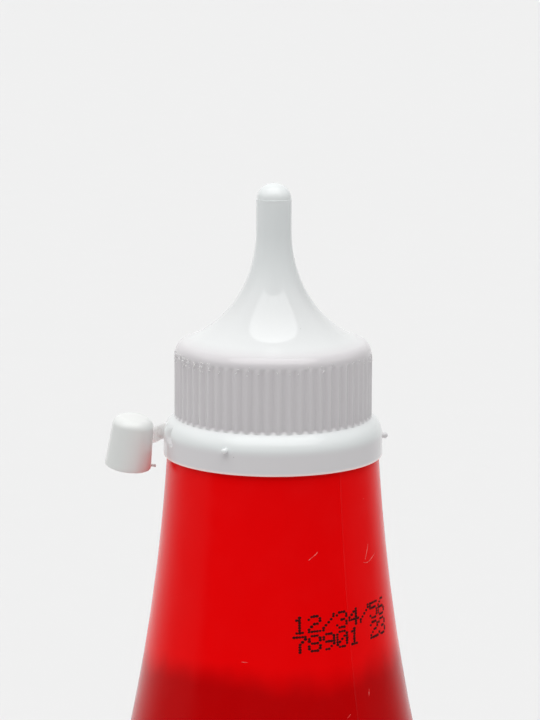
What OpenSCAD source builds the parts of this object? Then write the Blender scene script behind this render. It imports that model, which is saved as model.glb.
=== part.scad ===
// Squeeze bottle of ketchup with a one-piece nozzle closure and its tethered tip cap.
// Millimetres, +Z up. The origin is the centre of the foot, and the front faces -Y.

/* [Bottle] */
// Height of the ledge that the closure stands over
ledge_z = 207.2; // [172:0.1:250]
// Diameter of the straight body
body_d = 84; // [70:1:101]
// Thickness of the blown wall
wall = 1; // [0.6:0.1:1.6]
// Length of the flare under the ledge
flare_len = 85; // [75:1:100]
// Taper of the flare at its top, in degrees
flare_top_angle = 3.5; // [0:0.1:6]
// How much radius the rounding under the flare adds
flare_blend = 5.3; // [3:0.1:7]
// Radius of the heel
heel_r = 8; // [4:0.5:12]
// Width of the flat ring that the bottle rests on
foot_w = 3; // [1:0.5:6]
// Height of the hollow in the base
pushup_h = 4.5; // [2:0.5:8]
// Rounding of the edge at the ledge
ledge_round = 0.9; // [0.4:0.1:1.5]

/* [Neck] */
// Outer diameter of the neck
neck_d = 37.2; // [34:0.1:38]
// Thickness of the neck
neck_wall = 1.4; // [1:0.1:2]
// Height of the neck above the ledge
neck_h = 21.8; // [18:0.1:22]

/* [Contents] */
// Depth of the ketchup's surface under the ledge
fill_below = 43.2; // [5:0.1:150]
// Space between the ketchup and the wall
fill_gap = 0.02; // [0:0.01:0.1]

/* [Closure] */
// Thickness of the skirt's wall over its ribs
skirt_wall = 2.25; // [1.6:0.05:3]
// Height of the skirt's top over the neck's rim
skirt_over = 0.4; // [0.2:0.1:2]
// Number of ribs round the skirt
rib_count = 58; // [40:1:72]
// Depth of the valleys between the ribs
rib_depth = 0.55; // [0.3:0.05:0.7]
// How far the ribs stand out from the plain band over them
rib_step = 0.2; // [0.1:0.05:0.3]
// How far the ribs reach up over the start of the shoulder's rounding
rib_over = 0.5; // [0.2:0.1:1]
// How far the collar stands out from the skirt
collar_step = 2.3; // [1.5:0.1:3]
// Height of the collar's straight side
collar_side_h = 4.4; // [3:0.1:6]
// Radius of the collar's rounded top
collar_round = 4.3; // [3:0.1:5]
// Bevel of the collar's lower edge
collar_chamfer = 0.7; // [0.3:0.1:1.2]
// Thickness of the collar's wall
collar_wall = 2.2; // [1.6:0.1:3]
// Gap between the closure's bore and the neck
neck_gap = 0.15; // [0.1:0.05:0.3]
// How far the bottle's shoulder stands in from the collar's bevelled edge
shoulder_cover = 0; // [0:0.1:1]
// Gap between the collar and the ledge
ledge_gap = 0.3; // [0.2:0.05:0.6]

/* [Nozzle] */
// Diameter of the stem
stem_d = 7.5; // [6:0.1:9]
// Length of the straight stem
stem_h = 7.4; // [4:0.1:10]
// Height of the flare under the stem
nozzle_rise = 24.5; // [18:0.1:30]
// Radius of the shoulder's rounding
shoulder_round = 2.7; // [1:0.1:4]
// Angle through which the flare turns before the shoulder
nozzle_turn = 74; // [68:1:78]
// Height of the domed end
dome_h = 2.6; // [1:0.1:3]
// Step between the stem and the domed end
dome_step = 0.08; // [0:0.01:0.2]
// Radius of the channel where it leaves the flare
channel_r = 2; // [1.5:0.1:2.4]
// Radius of the channel at its shut end
channel_tip_r = 1.2; // [0.8:0.1:1.4]
// Solid length over the channel, domed end included
tip_plug = 4.8; // [4:0.1:6]
// Thickness of the flare along its height
nozzle_drop = 1; // [0.6:0.1:1.5]

/* [Nubs] */
// Diameter of the stubs on the collar
nub_d = 1.2; // [0.8:0.1:1.6]
// How far the stubs stand out
nub_len = 1.35; // [0.8:0.05:2]

/* [Strap] */
// Thickness of the strap
strap_t = 1; // [0.8:0.1:1.2]
// Height of the strap's band
strap_w = 3.4; // [3:0.1:4]
// Angle from the front to the strap's root, to the left
root_angle = 76; // [74:1:90]
// Height of the strap's middle at its root, over the collar's lower edge
root_rise = 6.3; // [4:0.1:7]
// Space between the strap and the collar at the root
root_gap = 0.1; // [0.05:0.05:0.5]
// Angle that the root's gusset takes on the collar
gusset_angle = 17; // [10:1:25]
// Straight run from the root
strap_out = 24; // [18:0.5:32]
// Gap between the tip cap and the strap's outer run
strap_clear = 0.55; // [0.3:0.05:1.5]
// Angle of the strap's bend
strap_bend_angle = 177; // [165:1:178]
// Straight run back to the tip cap
strap_back = 13.3; // [12:0.1:20]
// How far the strap drops on its way
strap_drop = 5.4; // [3:0.1:7]

/* [Tip cap] */
// Thickness of the tip cap's wall at its rim
cap_wall = 1.08; // [0.8:0.02:1.4]
// Thickness of the tip cap's wall below its rounded end
cap_end_side = 0.53; // [0.45:0.01:1]
// Length of the tip cap
cap_len = 11; // [9:0.1:14]
// Rounding of the tip cap's shut end
cap_round = 2; // [1:0.1:3]
// Thickness of the tip cap's shut end
cap_end_wall = 1.4; // [0.8:0.1:3]
// Gap between the tip cap's bore and the stem
cap_gap = 0.12; // [0.05:0.01:0.2]
// Lean of the tip cap to the right, in degrees
cap_lean_x = 7.3; // [0:0.1:12]
// Lean of the tip cap to the front, in degrees
cap_lean_y = 8; // [0:0.1:12]
// Diameter of the stub by the tip cap's rim
stub_d = 0.5; // [0.4:0.05:0.8]
// How far that stub stands out
stub_len = 0.85; // [0.4:0.05:1.2]
// Height of that stub over the rim
stub_rise = 0.7; // [0.5:0.1:2]
// Length of the lug that the strap ends on
lug_len = 1.1; // [0.8:0.1:2]
// Height of the tip cap's middle over the strap's end
lug_below = 2; // [1.5:0.1:4]

/* [Hidden] */
$fn = 96;

// Radii, outwards from the neck and from the nozzle's stem
body_r = body_d / 2;
neck_r = neck_d / 2;
mouth_r = neck_r - neck_wall;
bore_r = neck_r + neck_gap;
skirt_r = bore_r + skirt_wall;
valley_r = skirt_r - rib_depth;
band_r = skirt_r - rib_step;
collar_r = skirt_r + collar_step;
stem_r = stem_d / 2;
cap_bore_r = stem_r + cap_gap;
cap_r = cap_bore_r + cap_wall;
cap_end_r = cap_bore_r + cap_end_side;

// The bottle's flare, from the ledge down to the straight body
shoulder_r = collar_r - collar_chamfer - shoulder_cover;
flare_steps = 24;
flare_curve = (body_r - flare_blend - shoulder_r - tan(flare_top_angle) * flare_len)
    / (flare_len * flare_len);
flare_end_angle = atan(tan(flare_top_angle) + 2 * flare_curve * flare_len);
blend_r = flare_blend / (1 - cos(flare_end_angle));
flare_end_z = ledge_z - flare_len;
foot_r = body_r - heel_r;
pushup_r = foot_r - foot_w;
fill_z = ledge_z - fill_below;

// Heights of the closure, all from the ledge
collar_z = ledge_z + ledge_gap;
collar_round_z = collar_z + collar_side_h;
collar_turn = acos((valley_r - collar_r + collar_round) / collar_round);
neck_top_z = ledge_z + neck_h;
skirt_top_z = neck_top_z + skirt_over;
rib_top_z = skirt_top_z + rib_over;

// The nozzle is a quarter of an ellipse. It turns until the shoulder's rounding, which ends
// upright on the band, carries on from it without a kink: a few passes find its radial half axis.
nozzle_reach = reach_to(band_r, 12);
turn_up = 90 - turn_angle(nozzle_reach);
stem_z = skirt_top_z + shoulder_round * sin(turn_up) + nozzle_rise * sin(nozzle_turn);
dome_z = stem_z + stem_h;
nozzle_top_z = dome_z + dome_h;

// The strap's line in plan: out from the root, round the bend and back.
root_r = collar_r + root_gap + strap_t / 2;
root_pos = [-root_r * sin(root_angle), -root_r * cos(root_angle)];
out_heading = 180 - root_angle;
back_heading = out_heading + strap_bend_angle;
strap_bend_r = (cap_r + strap_t / 2 + strap_clear
    - (strap_back + lug_len + cap_r) * sin(strap_bend_angle)) / (1 - cos(strap_bend_angle));
bend_len = PI * strap_bend_r * strap_bend_angle / 180;
strap_len = strap_out + bend_len + strap_back;
bend_start = root_pos + strap_out * along(out_heading);
bend_centre = bend_start + strap_bend_r * along(out_heading + 90);
bend_end = bend_centre + strap_bend_r * along(back_heading - 90);
strap_root_z = collar_z + root_rise;
strap_steps = 48;
band_bevel = 0.25;

strap_end = strap_point(strap_len);
cap_centre = [
    strap_end[0] + (lug_len + cap_r) * along(back_heading)[0],
    strap_end[1] + (lug_len + cap_r) * along(back_heading)[1],
    strap_end[2] + lug_below
];

// Stubs on the collar: angle from the front to the right, and height over the lower edge
nub_places = [[-25, 5], [95, 3.4], [-145, 4.2]];

function along(a) = [cos(a), sin(a)];

function arc(centre, r, a0, a1, steps) = [
    for (i = [0 : steps])
        let (a = a0 + (a1 - a0) * i / steps)
        centre + r * along(a)
];

// Angle from upright of the nozzle's surface where the shoulder's rounding takes over
function turn_angle(reach) = atan2(nozzle_rise * cos(nozzle_turn), reach * sin(nozzle_turn));

function reach_to(reach, passes) = passes == 0 ? reach
    : reach_to(
        (band_r - shoulder_round * (1 - sin(turn_angle(reach))) - stem_r) / (1 - cos(nozzle_turn)),
        passes - 1
    );

function flare_r(t) = shoulder_r + tan(flare_top_angle) * t + flare_curve * t * t;

// Outline of the bottle from the middle of its base to its shoulder, drawn in by a wall
function body_points(inset) = concat(
    [for (i = [0 : 6])
        let (r = pushup_r * i / 6)
        [r, pushup_h * (1 - pow(i / 6, 2)) + inset]],
    arc([foot_r, heel_r], heel_r - inset, -90, 0, 8),
    arc([body_r - blend_r, flare_end_z - blend_r * sin(flare_end_angle)], blend_r - inset,
        0, flare_end_angle, 6),
    [for (i = [flare_steps - 1 : -1 : 1])
        let (t = flare_len * i / flare_steps)
        [flare_r(t) - inset, ledge_z - t]]
);

module bottle() {
    color([0.84, 0.02, 0.03])
    difference() {
        rotate_extrude() polygon(concat(
            body_points(0),
            arc([shoulder_r - ledge_round, ledge_z - ledge_round], ledge_round, 0, 90, 4),
            [[neck_r, ledge_z], [neck_r, neck_top_z], [0, neck_top_z]]
        ));
        rotate_extrude() polygon(concat(
            body_points(wall),
            [
                [shoulder_r - wall, ledge_z - wall],
                [mouth_r, ledge_z - wall],
                [mouth_r, neck_top_z + 1],
                [0, neck_top_z + 1]
            ]
        ));
    }
}

module ketchup() {
    color([0.62, 0.03, 0.02])
    intersection() {
        rotate_extrude() polygon(concat(
            body_points(wall + fill_gap),
            [[0, ledge_z - flare_len / flare_steps]]
        ));
        cylinder(r = body_r, h = fill_z);
    }
}

// Outline of the closure from its lower edge to the top of the nozzle
function closure_points() = concat(
    [
        [0, collar_z],
        [collar_r - collar_chamfer, collar_z],
        [collar_r, collar_z + collar_chamfer]
    ],
    arc([collar_r - collar_round, collar_round_z], collar_round, 0, collar_turn, 10),
    [[valley_r, skirt_top_z - rib_step]],
    arc([band_r - shoulder_round, skirt_top_z], shoulder_round, 0, turn_up, 6),
    [for (i = [flare_steps - 1 : -1 : 0])
        let (a = nozzle_turn * i / flare_steps)
        [stem_r + nozzle_reach * (1 - cos(a)), stem_z - nozzle_rise * sin(a)]],
    [[stem_r, dome_z]],
    [for (i = [0 : 6])
        let (a = 90 * i / 6)
        [(stem_r - dome_step) * cos(a), dome_z + dome_h * sin(a)]]
);

// Outline of the closure's inside: the counterbore, the neck's bore, the flare and the channel
function closure_bore_points() =
    let (end_angle = acos(1 - (mouth_r - channel_r) / nozzle_reach))
    concat(
        [
            [0, collar_z - 1],
            [collar_r - collar_wall, collar_z - 1],
            [collar_r - collar_wall, collar_round_z],
            [bore_r, collar_round_z],
            [bore_r, neck_top_z],
            [mouth_r, neck_top_z]
        ],
        [for (i = [16 : -1 : 0])
            let (a = end_angle * i / 16)
            [
                channel_r + nozzle_reach * (1 - cos(a)),
                stem_z - nozzle_drop - nozzle_rise * sin(a)
            ]],
        [
            [channel_tip_r, nozzle_top_z - tip_plug],
            [0, nozzle_top_z - tip_plug]
        ]
    );

// Ribs as one scalloped ring: each rib is a rounded crest between two valleys
module ribs() {
    points_per_rib = 6;
    count = rib_count * points_per_rib;
    translate([0, 0, collar_round_z])
    linear_extrude(height = rib_top_z - collar_round_z)
    polygon([
        for (i = [0 : count - 1])
            let (a = 360 * i / count - 90)
            let (valley = 1 - abs(sin(180 * i / points_per_rib)))
            (skirt_r - rib_depth * valley) * along(a)
    ]);
}

module nub(angle, rise) {
    rotate([0, 0, angle])
    translate([0, -collar_r + 1, collar_z + rise])
    rotate([90, 0, 0]) {
        cylinder(d = nub_d, h = nub_len + 1 - nub_d / 2, $fn = 32);
        translate([0, 0, nub_len + 1 - nub_d / 2])
        sphere(d = nub_d, $fn = 32);
    }
}

// Wedge that grows out of the collar and ends on a flat face where the strap starts
module gusset() {
    tail = root_angle - gusset_angle;
    deep = collar_r - collar_wall / 2;
    translate([0, 0, strap_root_z - strap_w / 2])
    linear_extrude(height = strap_w)
    polygon([
        root_pos + strap_t / 2 * along(out_heading + 90),
        [-deep * sin(root_angle), -deep * cos(root_angle)],
        [-deep * sin(tail), -deep * cos(tail)],
        [-collar_r * sin(tail), -collar_r * cos(tail)]
    ]);
}

module closure() {
    color([0.93, 0.93, 0.93])
    difference() {
        union() {
            rotate_extrude() polygon(closure_points());
            ribs();
            gusset();
            for (place = nub_places) nub(place[0], place[1]);
        }
        rotate_extrude() polygon(closure_bore_points());
    }
}

// Middle of the strap's band at a distance along it
function strap_point(s) =
    let (plan = s < strap_out ? root_pos + s * along(out_heading)
        : s < strap_out + bend_len
            ? bend_centre + strap_bend_r * along(strap_heading(s) - 90)
            : bend_end + (s - strap_out - bend_len) * along(back_heading))
    let (left = 1 - s / strap_len)
    [plan[0], plan[1], strap_root_z - strap_drop * (1 - pow(left, 4))];

// Direction in plan of the strap at a distance along it
function strap_heading(s) =
    out_heading + strap_bend_angle * min(1, max(0, (s - strap_out) / bend_len));

// Corners of the band's section, as out to the side and up, with bevelled edges
band_section = [
    [-strap_t / 2, -strap_w / 2 + band_bevel], [-strap_t / 2 + band_bevel, -strap_w / 2],
    [strap_t / 2 - band_bevel, -strap_w / 2], [strap_t / 2, -strap_w / 2 + band_bevel],
    [strap_t / 2, strap_w / 2 - band_bevel], [strap_t / 2 - band_bevel, strap_w / 2],
    [-strap_t / 2 + band_bevel, strap_w / 2], [-strap_t / 2, strap_w / 2 - band_bevel]
];

module strap() {
    corners = len(band_section);
    color([0.9, 0.9, 0.91])
    polyhedron(
        points = [
            for (i = [0 : strap_steps])
                let (s = strap_len * i / strap_steps)
                let (middle = strap_point(s))
                let (side = along(strap_heading(s) - 90))
                for (c = band_section)
                    middle + [c[0] * side[0], c[0] * side[1], c[1]]
        ],
        faces = concat(
            [[for (j = [0 : corners - 1]) j]],
            [[for (j = [0 : corners - 1]) strap_steps * corners + corners - 1 - j]],
            [for (i = [0 : strap_steps - 1])
                for (j = [0 : corners - 1])
                    [
                        i * corners + j,
                        (i + 1) * corners + j,
                        (i + 1) * corners + (j + 1) % corners,
                        i * corners + (j + 1) % corners
                    ]]
        )
    );
}

module cap_lean() {
    translate(cap_centre)
    rotate([cap_lean_y, cap_lean_x, 0])
    translate([0, 0, -cap_len / 2])
    children();
}

module tip_cap() {
    color([0.93, 0.94, 0.94])
    difference() {
        union() {
            cap_lean() rotate_extrude() polygon(concat(
                [[0, 0], [cap_r - 0.3, 0], [cap_r, 0.3]],
                arc([cap_end_r - cap_round, cap_len - cap_round], cap_round, 0, 90, 8),
                [[0, cap_len]]
            ));
            // Lug that the strap ends on
            translate(strap_end)
            rotate([0, 0, back_heading])
            translate([0, -strap_t / 2, -strap_w / 2])
            cube([lug_len + cap_r / 2, strap_t, strap_w]);
            // Stub by the rim
            cap_lean() translate([cap_bore_r + 0.3, 0, stub_rise])
            rotate([0, 90, 0]) cylinder(d = stub_d, h = cap_r - cap_bore_r - 0.3 + stub_len, $fn = 24);
        }
        cap_lean() translate([0, 0, -1])
        cylinder(r = cap_bore_r, h = cap_len - cap_end_wall + 1);
    }
}

bottle();
ketchup();
closure();
strap();
tip_cap();
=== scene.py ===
"""Squeeze bottle of tomato sauce: makes its pieces, their finishes and a plain stage."""

import math
import random
from types import SimpleNamespace

import bmesh
import bpy
from bpy.props import (
    FloatProperty,
    FloatVectorProperty,
    IntProperty,
    PointerProperty,
    StringProperty,
)
from bpy.types import Operator, Panel, PropertyGroup
from mathutils import Matrix, Vector


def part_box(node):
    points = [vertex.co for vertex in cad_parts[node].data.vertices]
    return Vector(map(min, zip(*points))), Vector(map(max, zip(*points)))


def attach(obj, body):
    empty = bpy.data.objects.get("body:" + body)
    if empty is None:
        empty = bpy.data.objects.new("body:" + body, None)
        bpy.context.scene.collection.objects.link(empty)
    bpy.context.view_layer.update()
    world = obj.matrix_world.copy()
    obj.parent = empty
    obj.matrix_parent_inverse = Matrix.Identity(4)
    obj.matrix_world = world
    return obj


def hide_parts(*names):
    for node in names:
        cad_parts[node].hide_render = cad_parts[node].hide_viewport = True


bl_info = {
    "name": "Squeeze bottle of sauce",
    "version": (1, 0, 0),
    "blender": (4, 5, 0),
    "location": "View3D > Sidebar > Sauce bottle",
    "description": "Makes a flared squeeze bottle with its nozzle closure and tethered tip cap",
    "category": "Add Mesh",
}

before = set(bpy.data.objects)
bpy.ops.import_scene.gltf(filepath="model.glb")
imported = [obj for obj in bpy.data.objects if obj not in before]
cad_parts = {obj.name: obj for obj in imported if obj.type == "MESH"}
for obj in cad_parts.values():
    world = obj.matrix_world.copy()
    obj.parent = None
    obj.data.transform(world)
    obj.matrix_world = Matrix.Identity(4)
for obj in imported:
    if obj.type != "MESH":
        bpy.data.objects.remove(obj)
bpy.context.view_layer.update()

MM = 0.001
BOTTLE_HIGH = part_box("bottle")[1]
FILL_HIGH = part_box("ketchup")[1]
CLOSURE_LOW, CLOSURE_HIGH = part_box("closure")
BODY = "root"

# The front faces -Y, so an angle from the front, positive to the right, starts here.
FRONT = -math.pi / 2


# ---------------------------------------------------------------- sizes and colours


class BottleSizes(PropertyGroup):
    """Sizes of the blown bottle"""

    body_r: FloatProperty(
        name="Body radius",
        description="Radius of the straight body",
        default=BOTTLE_HIGH.x,
        unit="LENGTH",
    )
    shoulder_r: FloatProperty(
        name="Shoulder radius",
        description="Radius of the flare at its top",
        default=CLOSURE_HIGH.y - 0.7 * MM,
        unit="LENGTH",
    )
    ledge_z: FloatProperty(
        name="Ledge height",
        description="Height of the ledge under the closure",
        default=CLOSURE_LOW.z - 0.05 * MM,
        unit="LENGTH",
    )
    ledge_round: FloatProperty(
        name="Ledge rounding",
        description="Rounding of the edge at the ledge",
        default=0.5 * MM,
        unit="LENGTH",
    )
    wall: FloatProperty(
        name="Wall", description="Thickness of the blown wall", default=1 * MM, unit="LENGTH"
    )
    flare_len: FloatProperty(
        name="Flare length",
        description="Height of the flare under the ledge",
        default=85 * MM,
        unit="LENGTH",
    )
    flare_top: FloatProperty(
        name="Top taper",
        description="Taper of the flare at its top",
        default=math.radians(3.5),
        subtype="ANGLE",
    )
    flare_blend: FloatProperty(
        name="Flare blend",
        description="How much radius the rounding under the flare adds",
        default=5.3 * MM,
        unit="LENGTH",
    )
    heel_r: FloatProperty(
        name="Heel radius", description="Rounding of the heel", default=8 * MM, unit="LENGTH"
    )
    foot_w: FloatProperty(
        name="Foot width",
        description="Width of the ring that the bottle rests on",
        default=3 * MM,
        unit="LENGTH",
    )
    pushup_h: FloatProperty(
        name="Push-up height",
        description="Height of the hollow in the base",
        default=4.5 * MM,
        unit="LENGTH",
    )
    neck_r: FloatProperty(
        name="Neck radius", description="Outer radius of the neck", default=18.6 * MM, unit="LENGTH"
    )
    neck_wall: FloatProperty(
        name="Neck wall", description="Thickness of the neck", default=1.4 * MM, unit="LENGTH"
    )
    neck_top: FloatProperty(
        name="Neck top",
        description="Height of the neck's rim",
        default=BOTTLE_HIGH.z,
        unit="LENGTH",
    )
    seam_proud: FloatProperty(
        name="Mould line height",
        description="How far the mould line stands out",
        default=0.07 * MM,
        unit="LENGTH",
    )
    seam_turn: FloatProperty(
        name="Mould line angle",
        description="Angle of the mould line from the front to the right",
        default=math.radians(38),
        subtype="ANGLE",
    )


class FillSizes(PropertyGroup):
    """Sizes of the sauce inside"""

    level: FloatProperty(
        name="Level", description="Height of the sauce", default=FILL_HIGH.z, unit="LENGTH"
    )
    into_wall: FloatProperty(
        name="Into the wall",
        description="How far the sauce reaches into the wall, so that no air shows between them",
        default=0.5 * MM,
        unit="LENGTH",
    )
    smear: FloatProperty(
        name="Smear",
        description="How unevenly the sauce clings above its level",
        default=0.9 * MM,
        unit="LENGTH",
    )


class ClosureSizes(PropertyGroup):
    """Sizes of the collar, the ribbed skirt and the nozzle"""

    collar_z: FloatProperty(
        name="Collar height",
        description="Height of the collar's lower edge",
        default=CLOSURE_LOW.z,
        unit="LENGTH",
    )
    collar_r: FloatProperty(
        name="Collar radius",
        description="Outer radius of the collar",
        default=CLOSURE_HIGH.y,
        unit="LENGTH",
    )
    collar_side: FloatProperty(
        name="Collar side",
        description="Height of the collar's straight side",
        default=4.4 * MM,
        unit="LENGTH",
    )
    collar_round: FloatProperty(
        name="Collar rounding",
        description="Radius of the collar's rounded top",
        default=4.3 * MM,
        unit="LENGTH",
    )
    collar_bevel: FloatProperty(
        name="Collar bevel",
        description="Bevel of the collar's lower edge",
        default=0.05 * MM,
        unit="LENGTH",
    )
    collar_wall: FloatProperty(
        name="Collar wall",
        description="Thickness of the collar's wall",
        default=2.2 * MM,
        unit="LENGTH",
    )
    bore_r: FloatProperty(
        name="Bore radius",
        description="Radius of the bore round the neck",
        default=18.75 * MM,
        unit="LENGTH",
    )
    skirt_r: FloatProperty(
        name="Rib radius",
        description="Radius of the skirt over its ribs",
        default=21 * MM,
        unit="LENGTH",
    )
    rib_count: IntProperty(name="Ribs", description="Number of ribs", default=58, min=20, max=90)
    rib_depth: FloatProperty(
        name="Rib depth",
        description="Depth of the grooves between the ribs",
        default=0.55 * MM,
        unit="LENGTH",
    )
    rib_step: FloatProperty(
        name="Rib step",
        description="How far the ribs stand out from the plain band",
        default=0.2 * MM,
        unit="LENGTH",
    )
    skirt_top: FloatProperty(
        name="Skirt top",
        description="Height at which the shoulder's rounding starts",
        default=BOTTLE_HIGH.z + 0.4 * MM,
        unit="LENGTH",
    )
    shoulder_round: FloatProperty(
        name="Shoulder rounding",
        description="Radius of the rounding over the skirt",
        default=2.7 * MM,
        unit="LENGTH",
    )
    stem_r: FloatProperty(
        name="Stem radius", description="Radius of the stem", default=3.75 * MM, unit="LENGTH"
    )
    stem_h: FloatProperty(
        name="Stem length",
        description="Length of the straight stem",
        default=6.7 * MM,
        unit="LENGTH",
    )
    nozzle_rise: FloatProperty(
        name="Flare height",
        description="Half axis of the nozzle's flare, upwards",
        default=24.5 * MM,
        unit="LENGTH",
    )
    nozzle_turn: FloatProperty(
        name="Flare turn",
        description="Angle through which the nozzle's flare turns",
        default=math.radians(74),
        subtype="ANGLE",
    )
    nozzle_top: FloatProperty(
        name="Nozzle top",
        description="Height of the nozzle's domed end",
        default=CLOSURE_HIGH.z,
        unit="LENGTH",
    )
    dome_h: FloatProperty(
        name="Dome", description="Height of the domed end", default=3.3 * MM, unit="LENGTH"
    )
    nub_r: FloatProperty(
        name="Stub radius",
        description="Radius of the small stubs on the collar",
        default=0.6 * MM,
        unit="LENGTH",
    )
    nub_len: FloatProperty(
        name="Stub length",
        description="How far those stubs stand out",
        default=1.35 * MM,
        unit="LENGTH",
    )


class StrapSizes(PropertyGroup):
    """Sizes of the strap and the tip cap"""

    strap_t: FloatProperty(
        name="Strap thickness",
        description="Thickness of the strap",
        default=1 * MM,
        unit="LENGTH",
    )
    strap_w: FloatProperty(
        name="Strap height",
        description="Height of the strap's band",
        default=3.4 * MM,
        unit="LENGTH",
    )
    cap_r: FloatProperty(
        name="Tip cap radius",
        description="Outer radius of the tip cap at its rim",
        default=4.95 * MM,
        unit="LENGTH",
    )
    cap_end_r: FloatProperty(
        name="Tip cap end radius",
        description="Outer radius of the tip cap below its rounded end",
        default=4.4 * MM,
        unit="LENGTH",
    )
    cap_bore_r: FloatProperty(
        name="Tip cap bore",
        description="Radius of the tip cap's bore",
        default=3.87 * MM,
        unit="LENGTH",
    )
    cap_len: FloatProperty(
        name="Tip cap length", description="Length of the tip cap", default=11 * MM, unit="LENGTH"
    )
    cap_round: FloatProperty(
        name="Tip cap rounding",
        description="Rounding of the tip cap's shut end",
        default=2 * MM,
        unit="LENGTH",
    )
    cap_end_wall: FloatProperty(
        name="Tip cap end",
        description="Thickness of the tip cap's shut end",
        default=1.4 * MM,
        unit="LENGTH",
    )


class PrintSettings(PropertyGroup):
    """The dot-printed number on the bottle"""

    upper_row: StringProperty(
        name="Upper row", description="Plain digits of the upper row", default="12/34/56"
    )
    lower_row: StringProperty(
        name="Lower row", description="Plain digits of the lower row", default="78901 23"
    )
    pitch: FloatProperty(
        name="Dot pitch", description="Distance between dots", default=0.52 * MM, unit="LENGTH"
    )
    dot_r: FloatProperty(
        name="Dot radius", description="Radius of a dot", default=0.33 * MM, unit="LENGTH"
    )
    advance: FloatProperty(
        name="Advance", description="Distance between digits", default=3.25 * MM, unit="LENGTH"
    )
    row_pitch: FloatProperty(
        name="Row pitch", description="Distance between rows", default=4.0 * MM, unit="LENGTH"
    )
    base_z: FloatProperty(
        name="Base height",
        description="Height of the lower row's base",
        default=170.6 * MM,
        unit="LENGTH",
    )
    start: FloatProperty(
        name="Start",
        description="Angle at which the rows start, from the front to the right",
        default=math.radians(10),
        subtype="ANGLE",
    )
    slope: FloatProperty(
        name="Slope", description="How much the rows climb to the right", default=0.03
    )


class Finishes(PropertyGroup):
    """Colours of the finishes"""

    # Painted glow: the wall over the air is coloured as bright as light shining through it.
    headspace_glow: FloatVectorProperty(
        name="Wall over air",
        description="Colour of the wall above the sauce",
        default=(0.985, 0.0012, 0.0022),
        subtype="COLOR",
    )
    backed: FloatVectorProperty(
        name="Wall over sauce",
        description="Colour of the wall with sauce behind it",
        default=(0.56, 0.001, 0.002),
        subtype="COLOR",
    )
    sauce: FloatVectorProperty(
        name="Sauce",
        description="Colour of the sauce",
        default=(0.42, 0.012, 0.006),
        subtype="COLOR",
    )
    white: FloatVectorProperty(
        name="White",
        description="Colour of the white moulding",
        default=(0.815, 0.845, 0.845),
        subtype="COLOR",
    )
    # Painted shade: the skirt's white is darker and a little pink, standing in for the shade over
    # its ribs and red light from the neck behind it.
    skirt: FloatVectorProperty(
        name="White over the neck",
        description="Colour of the white skirt, where the red neck is behind it",
        default=(0.675, 0.652, 0.667),
        subtype="COLOR",
    )
    # Painted shade: the nozzle's flare is darker than the stem's white.
    flare: FloatVectorProperty(
        name="White flare",
        description="Colour of the nozzle's wide lower part",
        default=(0.75, 0.765, 0.765),
        subtype="COLOR",
    )
    # Painted shade: the collar's side is darker than the white over its rounded top.
    collar: FloatVectorProperty(
        name="White collar",
        description="Colour of the white collar",
        default=(0.735, 0.72, 0.732),
        subtype="COLOR",
    )
    tip_cap: FloatVectorProperty(
        name="White tip cap",
        description="Colour of the tip cap and its strap",
        default=(0.79, 0.805, 0.79),
        subtype="COLOR",
    )
    ink: FloatVectorProperty(
        name="Ink", description="Colour of the ink", default=(0.03, 0.002, 0.002), subtype="COLOR"
    )


class StageSettings(PropertyGroup):
    """Camera, floor and light"""

    distance: FloatProperty(
        name="Distance",
        description="Distance of the camera from its target",
        default=0.743,
        unit="LENGTH",
    )
    elevation: FloatProperty(
        name="Elevation",
        description="Angle at which the camera looks down",
        default=math.radians(11.02),
        subtype="ANGLE",
    )
    roll: FloatProperty(
        name="Roll",
        description="Turn of the camera about its own line of sight",
        default=math.radians(0.22),
        subtype="ANGLE",
    )
    lens: FloatProperty(
        name="Lens", description="Focal length in millimetres", default=175.0, min=20
    )
    target: FloatVectorProperty(
        name="Target",
        description="Point that the camera looks at",
        default=(-0.7 * MM, 0, 227.6 * MM),
        subtype="TRANSLATION",
    )
    back: FloatProperty(
        name="Back", description="Brightness of the white panel behind the bottle", default=0.9
    )
    sides: FloatProperty(name="Sides", description="Brightness of the room's sides", default=0.18)
    room: FloatProperty(
        name="Room", description="Brightness of the room on the camera's side", default=0.015
    )
    ceiling: FloatProperty(
        name="Ceiling", description="Brightness of the ceiling round the softbox", default=0.5
    )
    table: FloatProperty(
        name="Table", description="Brightness of the table as the bottle sees it", default=1.02
    )
    softbox: FloatProperty(
        name="Softbox", description="Brightness of the overhead softbox", default=2.7
    )
    floor: FloatProperty(
        name="Floor", description="How much light the floor reflects", default=0.685
    )


def in_mm(group):
    """The group's lengths in millimetres, and its other numbers as they are."""
    lengths = {}
    for key, prop in group.bl_rna.properties.items():
        if prop.type == "FLOAT" and not prop.is_array:
            value = getattr(group, key)
            lengths[key] = value / MM if prop.unit == "LENGTH" else value
        elif prop.type == "INT":
            lengths[key] = getattr(group, key)
    return SimpleNamespace(**lengths)


# ---------------------------------------------------------------- shape helpers


def clamp(x):
    """Value kept between 0 and 1."""
    return min(1.0, max(0.0, x))


def smooth(x):
    """Eased step from 0 to 1."""
    x = clamp(x)
    return x * x * (3 - 2 * x)


def spread(low, high, steps):
    """Evenly spread values, both ends included."""
    return [low + (high - low) * i / steps for i in range(steps + 1)]


def arc(centre, radius, start, end, steps):
    """Points on an arc, angles in radians."""
    return [
        (centre[0] + radius * math.cos(turn), centre[1] + radius * math.sin(turn))
        for turn in spread(start, end, steps)
    ]


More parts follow.
